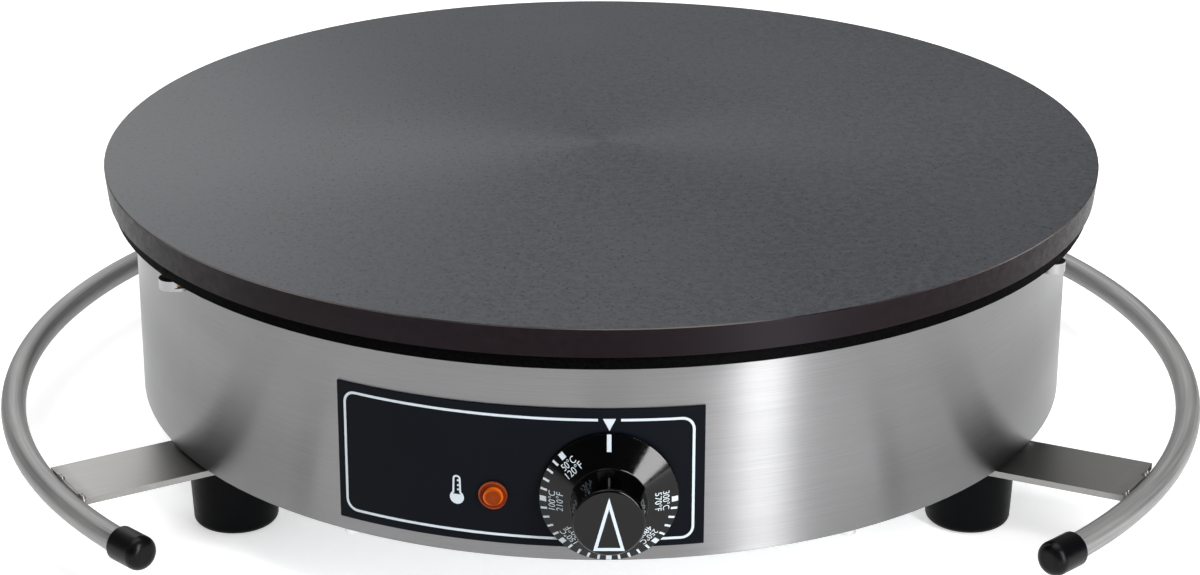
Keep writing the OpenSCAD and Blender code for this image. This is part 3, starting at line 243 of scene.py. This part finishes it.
def plate_look():
    """Iron plate: a turned top, a smoother rim and a raw skirt and underside, the skirt near-black partly as painted
    shade.
    """
    look = Look("plate_iron", IOR=1.5, Anisotropic_Rotation=0.25, Specular_Tint=(0.93, 0.95, 1.0, 1.0))
    radius, _, z = look.polar()
    is_rim = look.math("GREATER_THAN", z, RIM_FOOT)
    is_top = look.math("GREATER_THAN", z, TOP_FOOT)

    mottle = look.noise(look.place, detail=4.0, roughness=0.8, scale=300.0)
    patches = look.noise(look.place, detail=2.0, scale=11.0)
    specks = look.scaled(look.noise(look.place, detail=1.0, scale=700.0), 0, 0.7, 0.62, 0.70)
    top = look.blend(look.scaled(mottle, 0, 1, 0.40, 0.60), byte(24, 25, 29), byte(52, 54, 60))
    top = look.blend(look.scaled(patches, 0, 0.4, 0.3, 0.7), top, byte(53, 55, 61))
    top = look.blend(specks, top, byte(2, 2, 2))

    lines = look.noise(look.stretch((12, 12, 1800)), detail=3.0)
    rim = look.blend(look.scaled(lines, 0, 1, 0.3, 0.7), byte(11, 1, 5), byte(17, 4, 9))
    # painted highlight: a light line, in patches, along the rim's top edge where it catches the light
    edge = look.times(look.math("GREATER_THAN", z, EDGE_FOOT), look.math("GREATER_THAN", radius, EDGE_R))
    edge_highlight = look.times(edge, look.scaled(patches, 0.0, 0.7, 0.4, 0.65))
    rim = look.blend(edge_highlight, rim, byte(118, 112, 106))

    raw = look.noise(look.place, detail=4.0, scale=1100.0)
    # the skirt's near-black colour: raw casting, darkened further as painted shade under the rim's overhang
    skirt = look.blend(look.scaled(raw, 0, 1, 0.35, 0.7), byte(1, 1, 1), byte(8, 8, 9))

    sheen = look.plus(look.scaled(is_rim, 0.03, 0.15), look.scaled(is_top, 0.0, 0.18))
    grain = look.times(look.scaled(mottle, 0.82, 1.14, 0.38, 0.62), look.scaled(specks, 1.0, 0.5))
    grained = look.add("ShaderNodeMix", is_top, None, sheen, look.times(sheen, grain)).outputs[0]
    rough = look.plus(look.scaled(is_rim, 0.3, 0.08), look.scaled(is_top, 0.0, -0.03))
    grooves = look.noise(look.join(look.times(radius, 1500.0), 0.0, 0.0), detail=3.0, roughness=0.7)
    relief = look.plus(
        look.times(grooves, look.scaled(is_top, 0.0, 0.4)),
        look.times(raw, look.scaled(is_rim, 2.5, 0.2)))
    look.set(
        Base_Color=look.blend(is_top, look.blend(is_rim, skirt, rim), top),
        Specular_IOR_Level=grained,
        Anisotropic=look.scaled(is_top, 0.85, 0.45),
        Roughness=look.plus(look.scaled(mottle, 0.30, 0.46, 0.3, 0.7), rough),
        Normal=look.bump(relief, 0.00004, 0.35),
        Tangent=look.round_way(),
    )
    return look.material


def tube_look():
    """Satin drawn tube, its lines along the handle."""
    look = Look("handle_steel", Metallic=1.0, Anisotropic=0.3)
    radius, angle, z = look.polar()
    along = look.join(look.times(angle, 5.0), look.times(radius, 900.0), look.times(z, 900.0))
    lines = look.noise(along, detail=2.0, roughness=0.5)
    smudge = look.noise(look.place, detail=3.0, scale=35.0)
    look.set(
        Base_Color=look.blend(look.scaled(lines, 0, 1, 0.3, 0.7), byte(144, 144, 144), byte(168, 168, 167)),
        Roughness=look.scaled(look.plus(lines, smudge), 0.58, 0.70, 0.7, 1.3),
        Normal=look.bump(smudge, 0.00002, 0.2),
        Tangent=look.round_way(),
    )
    return look.material


def bracket_look():
    """Satin flat bar, tinted by the heat of its weld near the tube."""
    look = Look("bracket_steel", Metallic=1.0)
    radius, angle, z = look.polar()
    along = look.join(look.times(radius, 24.0), look.times(angle, 300.0), look.times(z, 300.0))
    lines = look.noise(along, detail=2.0, roughness=0.5)
    patch = look.noise(look.place, detail=3.0, scale=240.0)
    near = look.scaled(radius, 0, 1, WELD_START, WELD_END)
    heat = look.times(near, look.scaled(patch, 0.4, 1.0, 0.3, 0.7))
    steel = look.blend(look.scaled(lines, 0, 1, 0.3, 0.7), byte(142, 141, 139), byte(149, 148, 146))
    seam = look.blend(patch, byte(112, 114, 124), byte(136, 128, 118))
    look.set(
        Base_Color=look.blend(look.times(heat, 0.7), steel, seam),
        Roughness=look.scaled(look.plus(lines, heat), 0.34, 0.46, 0.3, 1.5),
        Normal=look.bump(patch, 0.00006, 0.3),
    )
    return look.material


def panel_look():
    look = Look("panel_film", Specular_IOR_Level=0.05)
    cloud = look.noise(look.place, detail=3.0, scale=25.0)
    grain = look.noise(look.place, detail=2.0, scale=2200.0)
    look.set(
        Base_Color=look.blend(cloud, byte(8, 11, 17), byte(12, 16, 23)),
        Roughness=look.scaled(grain, 0.34, 0.44, 0.3, 0.7),
        Normal=look.bump(grain, 0.00001, 0.4),
    )
    return look.material


def knob_look():
    look = Look("knob_plastic", Specular_IOR_Level=0.26)
    cloud = look.noise(look.place, detail=2.0, scale=60.0)
    fine = look.noise(look.place, detail=2.0, scale=700.0)
    look.set(
        Base_Color=look.blend(cloud, byte(1, 1, 1), byte(3, 3, 4)),
        Roughness=look.scaled(fine, 0.06, 0.11, 0.3, 0.7),
        Normal=look.bump(fine, 0.000004, 0.4),
    )
    return look.material


def lens_look():
    """Amber moulding: painted highlights make the flange's edge and the step of the dome lighter than its flat
    middle.
    """
    look = Look("lens_amber", Specular_IOR_Level=0.08)
    x, _, z = look.split(look.place)
    dx = look.math("SUBTRACT", x, LAMP_X * MM)
    dz = look.math("SUBTRACT", z, LAMP_Z * MM)
    away = look.math("SQRT", look.plus(look.times(dx, dx), look.times(dz, dz)))
    ramp = look.add("ShaderNodeValToRGB", look.scaled(away, 0, 1, 0.0, LENS_R))
    # painted highlights: a bright orange ring at the dome's step and a lighter ring near the flange's edge
    set_stops(ramp, [
        (0.0, byte(142, 58, 4)), (0.46, byte(134, 50, 4)), (0.54, byte(178, 78, 10)), (0.63, byte(222, 112, 26)),
        (0.68, byte(126, 36, 4)), (0.84, byte(106, 24, 2)), (0.93, byte(166, 78, 34)), (1.0, byte(100, 38, 12)),
    ])
    facets = look.noise(look.place, detail=2.0, scale=900.0)
    look.set(
        Base_Color=look.blend(look.scaled(facets, 0.0, 0.25), ramp.outputs[0], byte(90, 20, 5)),
        Roughness=look.scaled(facets, 0.18, 0.30),
        Normal=look.bump(facets, 0.00003, 0.4),
    )
    return look.material


def print_look(name, colour):
    look = Look(name)
    grain = look.noise(look.place, detail=2.0, scale=1500.0)
    look.set(
        Base_Color=look.blend(grain, tint(colour, 0.92), tint(colour, 1.04)),
        Roughness=look.scaled(grain, 0.4, 0.55),
    )
    return look.material


def galvanised_look():
    look = Look("base_steel", Metallic=1.0)
    cells = look.add("ShaderNodeTexVoronoi", look.place)
    cells.inputs["Scale"].default_value = 160.0
    spangle = look.split(cells.outputs["Color"])[0]
    look.set(
        Base_Color=look.blend(spangle, byte(178, 181, 184), byte(206, 208, 210)),
        Roughness=look.scaled(spangle, 0.32, 0.5),
    )
    return look.material


def mat_look():
    look = Look("mineral_mat", Sheen_Weight=0.3)
    fibres = look.noise(look.stretch((900, 900, 3500)), detail=5.0, roughness=0.7)
    look.set(
        Base_Color=look.blend(fibres, byte(206, 201, 184), byte(238, 234, 220)),
        Roughness=look.scaled(fibres, 0.85, 1.0),
        Normal=look.bump(fibres, 0.0004, 0.8),
    )
    return look.material


def element_look():
    """Heated sheath: dull grey with straw and blue temper colours."""
    look = Look("element_steel", Metallic=0.9)
    temper = look.noise(look.place, detail=2.0, scale=24.0)
    fine = look.noise(look.place, detail=3.0, scale=900.0)
    colour = look.blend(look.scaled(temper, 0, 1, 0.35, 0.65), byte(118, 108, 98), byte(92, 94, 108))
    look.set(
        Base_Color=look.blend(look.scaled(fine, 0, 0.5), colour, byte(70, 64, 60)),
        Roughness=look.scaled(fine, 0.42, 0.6),
        Normal=look.bump(fine, 0.00003, 0.5),
    )
    return look.material


def make_looks():
    return {
        "plate_iron": plate_look(),
        "support_steel": plain_metal("support_steel", byte(158, 158, 160), 0.34),
        "zinc_fasteners": plain_metal("zinc_fasteners", byte(206, 207, 206), 0.28),
        "brass_fasteners": plain_metal("brass_fasteners", byte(206, 172, 96), 0.30),
        "casing_steel": casing_look(),
        "base_steel": galvanised_look(),
        "panel_film": panel_look(),
        "handle_steel": tube_look(),
        "bracket_steel": bracket_look(),
        "cap_plastic": moulded(
            "cap_plastic", byte(6, 6, 8), 0.32, grain=1500.0, depth=0.00005, Specular_IOR_Level=0.14),
        "foot_rubber": moulded(
            "foot_rubber", byte(3, 4, 6), 0.40, grain=1200.0, depth=0.00005, Specular_IOR_Level=0.06),
        "knob_plastic": knob_look(),
        "shaft_steel": plain_metal("shaft_steel", byte(206, 206, 204), 0.22, spread=0.05, scale=900.0),
        "control_plastic": moulded("control_plastic", byte(112, 74, 52), 0.42),
        "contact_brass": plain_metal("contact_brass", byte(224, 192, 120), 0.3),
        "sensor_copper": plain_metal("sensor_copper", byte(202, 140, 104), 0.32),
        "element_steel": element_look(),
        "shield_alu": plain_metal("shield_alu", byte(214, 215, 216), 0.36, spread=0.06, scale=120.0),
        "mineral_mat": mat_look(),
        "lens_amber": lens_look(),
        "lamp_plastic": moulded("lamp_plastic", byte(232, 230, 224), 0.42, spread=0.03),
        "block_plastic": moulded("block_plastic", byte(232, 226, 208), 0.45, spread=0.03),
        "wire_sleeve": moulded("wire_sleeve", byte(168, 164, 156), 0.6, spread=0.06),
        "earth_sleeve": moulded("earth_sleeve", byte(172, 188, 60), 0.6, spread=0.08),
        "gland_plastic": moulded("gland_plastic", byte(36, 36, 38), 0.42),
        "seal_rubber": moulded("seal_rubber", byte(26, 26, 26), 0.7),
    }


def dress(looks):
    """Gives each CAD node the material of its slot."""
    slots = {part["node"]: part["material_slot"] for part in frame["record"]["subparts"]}
    for name, node in frame["nodes"].items():
        for holder in node.material_slots:
            holder.material = looks[slots[name]]


# ---- Prints: thin layers of their own on the panel, the dial and the grip ----
def on_panel(u, v, out):
    """A place on the panel: u along its curve from the front, v its height, out from its face."""
    angle, radius = u / CASING_R, PANEL_R + out
    return Vector((radius * math.sin(angle), -radius * math.cos(angle), v - PRINT_TILT * (u - TILT_X))) * MM


def on_dial(u, v, out):
    """A place on the dial's cone: u right and v up from the knob's axis."""
    rise = DIAL_EDGE + (DIAL_R - math.hypot(u, v)) * (DIAL_H - DIAL_EDGE) / (DIAL_R - GRIP_R)
    return Vector((KNOB_X + u, -(DIAL_Y + rise + out), KNOB_Z + v)) * MM


def on_face(u, v, out):
    """A place on the grip's face: u right and v up from the knob's axis."""
    return Vector((KNOB_X + u, -(FACE_Y + out), KNOB_Z + v)) * MM


def add_print(name, shapes, place, body, material):
    """Makes a piece of flat shapes, each (points, faces), as thin closed layers on the surface that place gives."""
    mesh = bmesh.new()
    for points, faces in shapes:
        top = [mesh.verts.new(place(u, v, PROUD)) for u, v in points]
        low = [mesh.verts.new(place(u, v, SUNK)) for u, v in points]
        sides = set()
        for face in faces:
            mesh.faces.new([top[i] for i in face])
            mesh.faces.new([low[i] for i in reversed(face)])
            sides.update(zip(face, face[1:] + face[:1]))
        for a, b in sides:
            if (b, a) not in sides:
                mesh.faces.new([top[b], top[a], low[a], low[b]])
    bmesh.ops.recalc_face_normals(mesh, faces=mesh.faces)
    data = bpy.data.meshes.new(name)
    mesh.to_mesh(data)
    mesh.free()
    data.materials.append(material)
    piece = bpy.data.objects.new(name, data)
    bpy.context.scene.collection.objects.link(piece)
    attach(piece, body)


def ribbon(line, width, closed=False):
    """A strip of even width along a line of points, as quads."""
    count = len(line)
    points = []
    for i, (x, y) in enumerate(line):
        before = line[i - 1] if i or closed else line[i]
        after = line[(i + 1) % count] if i < count - 1 or closed else line[i]
        one = Vector((x - before[0], y - before[1]))
        other = Vector((after[0] - x, after[1] - y))
        one = one.normalized() if one.length else other.normalized()
        other = other.normalized() if other.length else one
        side = Vector((-(one.y + other.y), one.x + other.x)).normalized()
        reach = width / 2 / max(0.2, side.dot(Vector((-one.y, one.x))))
        points += [(x + side.x * reach, y + side.y * reach), (x - side.x * reach, y - side.y * reach)]
    faces = []
    for i in range(count if closed else count - 1):
        a, b = 2 * i, 2 * ((i + 1) % count)
        faces.append([a, a + 1, b + 1, b])
    return points, faces


def arc(cx, cy, radius, start, end, steps):
    """Points of an arc, its angles in degrees from the right."""
    angles = [math.radians(start + (end - start) * i / steps) for i in range(steps + 1)]
    return [(cx + radius * math.cos(a), cy + radius * math.sin(a)) for a in angles]


def cut_up(line, step=2.0):
    """The same line with points no further apart than step."""
    out = [line[0]]
    for (x0, y0), (x1, y1) in zip(line, line[1:]):
        parts = max(1, math.ceil(math.hypot(x1 - x0, y1 - y0) / step))
        out += [
            (x0 + (x1 - x0) * i / parts, y0 + (y1 - y0) * i / parts)
            for i in range(1, parts + 1)]
    return out


def letters(words, height, pitch):
    """The flat shape of a line of generic lettering, its middle at the origin."""
    curve = bpy.data.curves.new("letters", "FONT")
    curve.body = words
    holder = bpy.data.objects.new("letters", curve)
    bpy.context.scene.collection.objects.link(holder)
    bpy.context.view_layer.update()
    mesh = bpy.data.meshes.new_from_object(holder.evaluated_get(bpy.context.evaluated_depsgraph_get()))
    xs = [v.co.x for v in mesh.vertices]
    ys = [v.co.y for v in mesh.vertices]
    wide, tall = pitch * len(words) / (max(xs) - min(xs)), height / (max(ys) - min(ys))
    mid_x, mid_y = (min(xs) + max(xs)) / 2, (min(ys) + max(ys)) / 2
    points = [((v.co.x - mid_x) * wide, (v.co.y - mid_y) * tall) for v in mesh.vertices]
    faces = [list(f.vertices) for f in mesh.polygons]
    bpy.data.objects.remove(holder)
    bpy.data.curves.remove(curve)
    bpy.data.meshes.remove(mesh)
    return points, faces


def turned(shape, angle, radius):
    """A shape set out from the knob's axis at an angle from the top, its top outward."""
    points, faces = shape
    c, s = math.cos(math.radians(angle)), math.sin(math.radians(angle))
    return [(u * c - (v + radius) * s, u * s + (v + radius) * c) for u, v in points], faces


def bar(width, low, high):
    """An upright bar round the middle line."""
    return [(-width / 2, low), (width / 2, low), (width / 2, high), (-width / 2, high)], [[0, 1, 2, 3]]


def dial_prints(material):
    """A long bar at the top, then ticks every 10 degrees C, with numbers at every 50."""
    shapes = [turned(bar(POINTER_W, POINTER_IN, TICK_OUT), 0, 0)]
    fahrenheit = {50: "120", 100: "210", 150: "300", 200: "390", 250: "480", 300: "570"}
    for value in range(50, 301, 10):
        angle = value * SCALE_ANGLE
        width = NUMBERED_W if value in fahrenheit else TICK_W
        shapes.append(turned(bar(width, TICK_IN, TICK_OUT), angle, 0))
        if value in fahrenheit:
            for words, radius in ((f"{value}°C", CELSIUS_R), (f"{fahrenheit[value]}°F", FAHRENHEIT_R)):
                shapes.append(turned(letters(words, LETTER_H, LETTER_PITCH), angle, radius))
    add_print("dial_prints", shapes, on_dial, "knob", material)


def grip_mark(material):
    """The triangle on the grip, along the middle of its line."""
    half, low, high, line = 4.8, -10.125, 7.8, 1.15
    shapes = [ribbon([(-half, low), (half, low), (0, high)], line, closed=True)]
    add_print("grip_mark", shapes, on_face, "knob", material)


def panel_outline(material):
    """A rounded outline, open at its top for a small triangle that points at the dial."""
    left, right, low, high, corner, width = -96.5, 33.3, 40.5, 87.5, 4.3, 0.98
    gap_left, gap_right = -1.0, 7.2
    line = [(gap_right, high)]
    for cx, cy, start in (
            (right - corner, high - corner, 90), (right - corner, low + corner, 0),
            (left + corner, low + corner, -90), (left + corner, high - corner, 180)):
        line += arc(cx, cy, corner, start, start - 90, 10)
    line.append((gap_left, high))
    pointer = [(0.8, 88.0), (3.1, 83.3), (5.4, 88.0)], [[0, 1, 2]]
    add_print("panel_outline", [ribbon(cut_up(line), width), pointer], on_panel, "housing", material)


def thermometer(material):
    """Outline of a bulb thermometer, filled in its lower part, with marks in the stem."""
    cx, foot, head, stem, bulb, line = -52.25, 50.85, 62.25, 1.5, 2.65, 0.68
    fill = 1.2  # height of the filling above the bulb's middle
    cz = foot + bulb
    neck = math.degrees(math.asin(stem / bulb))
    outline = arc(cx, head - stem, stem - line / 2, 0, 180, 14)
    outline += arc(cx, cz, bulb - line / 2, 90 + neck, 450 - neck, 40)
    inner = bulb - line * 0.6
    level = math.degrees(math.asin(fill / inner))
    pool = arc(cx, cz, inner, level, -180 - level, 36)
    shapes = [ribbon(outline, line, closed=True), (pool, [list(range(len(pool)))])]
    for z in (60.2, 58.3, 56.6):
        x0, x1, z0, z1 = cx + 0.15, cx + stem - line, z - line / 2, z + line / 2
        shapes.append(([(x0, z0), (x1, z0), (x1, z1), (x0, z1)], [[0, 1, 2, 3]]))
    add_print("thermometer_mark", shapes, on_panel, "housing", material)


# ---- Studio ----
def make_floor():
    """A pale floor just under the feet. The camera and reflections see it brighter than it lights the object."""
    size, z = 6.0, -0.0003
    data = bpy.data.meshes.new("studio_floor")
    data.from_pydata([(-size, -size, z), (size, -size, z), (size, size, z), (-size, size, z)], [], [(0, 1, 2, 3)])
    floor = bpy.data.objects.new("studio_floor", data)
    bpy.context.scene.collection.objects.link(floor)
    look = Look("studio_floor", Base_Color=(0.92, 0.92, 0.92, 1.0), Roughness=0.9, Specular_IOR_Level=0.0)
    ray = look.add("ShaderNodeLightPath").outputs
    seen = look.math("MAXIMUM", ray["Is Camera Ray"], ray["Is Glossy Ray"])
    seen = look.math("MAXIMUM", seen, ray["Is Transmission Ray"])
    look.set(Emission_Color=(1.0, 1.0, 1.0, 1.0), Emission_Strength=look.times(seen, 0.5))
    data.materials.append(look.material)


def make_world():
    """Grey studio walls by direction, lighter behind the object and overhead than on the camera's side."""
    world = bpy.data.worlds.new("studio")
    bpy.context.scene.world = world
    world.use_nodes = True
    tree = world.node_tree
    background = tree.nodes["Background"]

    def add(kind, *values, **settings):
        node = tree.nodes.new(kind)
        for name, value in settings.items():
            setattr(node, name, value)
        for socket, value in zip(node.inputs, values):
            if isinstance(value, bpy.types.NodeSocket):
                tree.links.new(value, socket)
            else:
                socket.default_value = value
        return node

    x, y, z = add("ShaderNodeSeparateXYZ", add("ShaderNodeTexCoord").outputs["Generated"]).outputs
    towards = add("ShaderNodeMath", y, -1.0, operation="MULTIPLY").outputs[0]
    turn = add("ShaderNodeMath", x, towards, operation="ARCTAN2").outputs[0]
    share = add("ShaderNodeMapRange", turn, -math.pi, math.pi, 0.0, 1.0).outputs[0]
    ramp = add("ShaderNodeValToRGB", share)
    set_stops(ramp, [((angle + 180) / 360, (level, level, level)) for angle, level in WALLS])
    height = add("ShaderNodeMapRange", z, CEILING_FROM, CEILING_TO, 0.0, CEILING_SHARE).outputs[0]
    mixed = add("ShaderNodeMix", data_type="RGBA")
    tree.links.new(height, mixed.inputs[0])
    tree.links.new(ramp.outputs[0], mixed.inputs[6])
    mixed.inputs[7].default_value = (CEILING, CEILING, CEILING, 1.0)
    tree.links.new(mixed.outputs[2], background.inputs["Color"])
    background.inputs["Strength"].default_value = 1.0


def softbox(name, where, at, width, height, power):
    data = bpy.data.lights.new(name, "AREA")
    data.shape, data.size, data.size_y, data.energy = "RECTANGLE", width, height, power
    light = bpy.data.objects.new(name, data)
    bpy.context.scene.collection.objects.link(light)
    light.location = where
    light.rotation_mode = "QUATERNION"
    light.rotation_quaternion = (Vector(at) - Vector(where)).to_track_quat("-Z", "Y")
    light.visible_camera = False


def round_at(angle, distance, z):
    """A place at an angle from the front, to the right."""
    a = math.radians(angle)
    return distance * math.sin(a), -distance * math.cos(a), z


def make_lights():
    softbox("strip_right", round_at(35.8, 1.72, 0.75), at=(0, 0, 0.08), width=0.36, height=1.7, power=37.0)
    softbox("box_left", round_at(-158, 2.2, 0.9), at=(0, 0, 0.1), width=1.0, height=1.6, power=5.0)
    softbox("box_top", (-0.2, 0.3, 2.4), at=(0, 0, 0.1), width=2.4, height=2.0, power=40.0)


make_camera()
looks = make_looks()
dress(looks)
white = print_look("white_print", byte(206, 216, 224))
dial_prints(white)
grip_mark(white)
panel_outline(white)
thermometer(white)
make_floor()
make_world()
make_lights()
bpy.context.scene.view_settings.view_transform = "Standard"
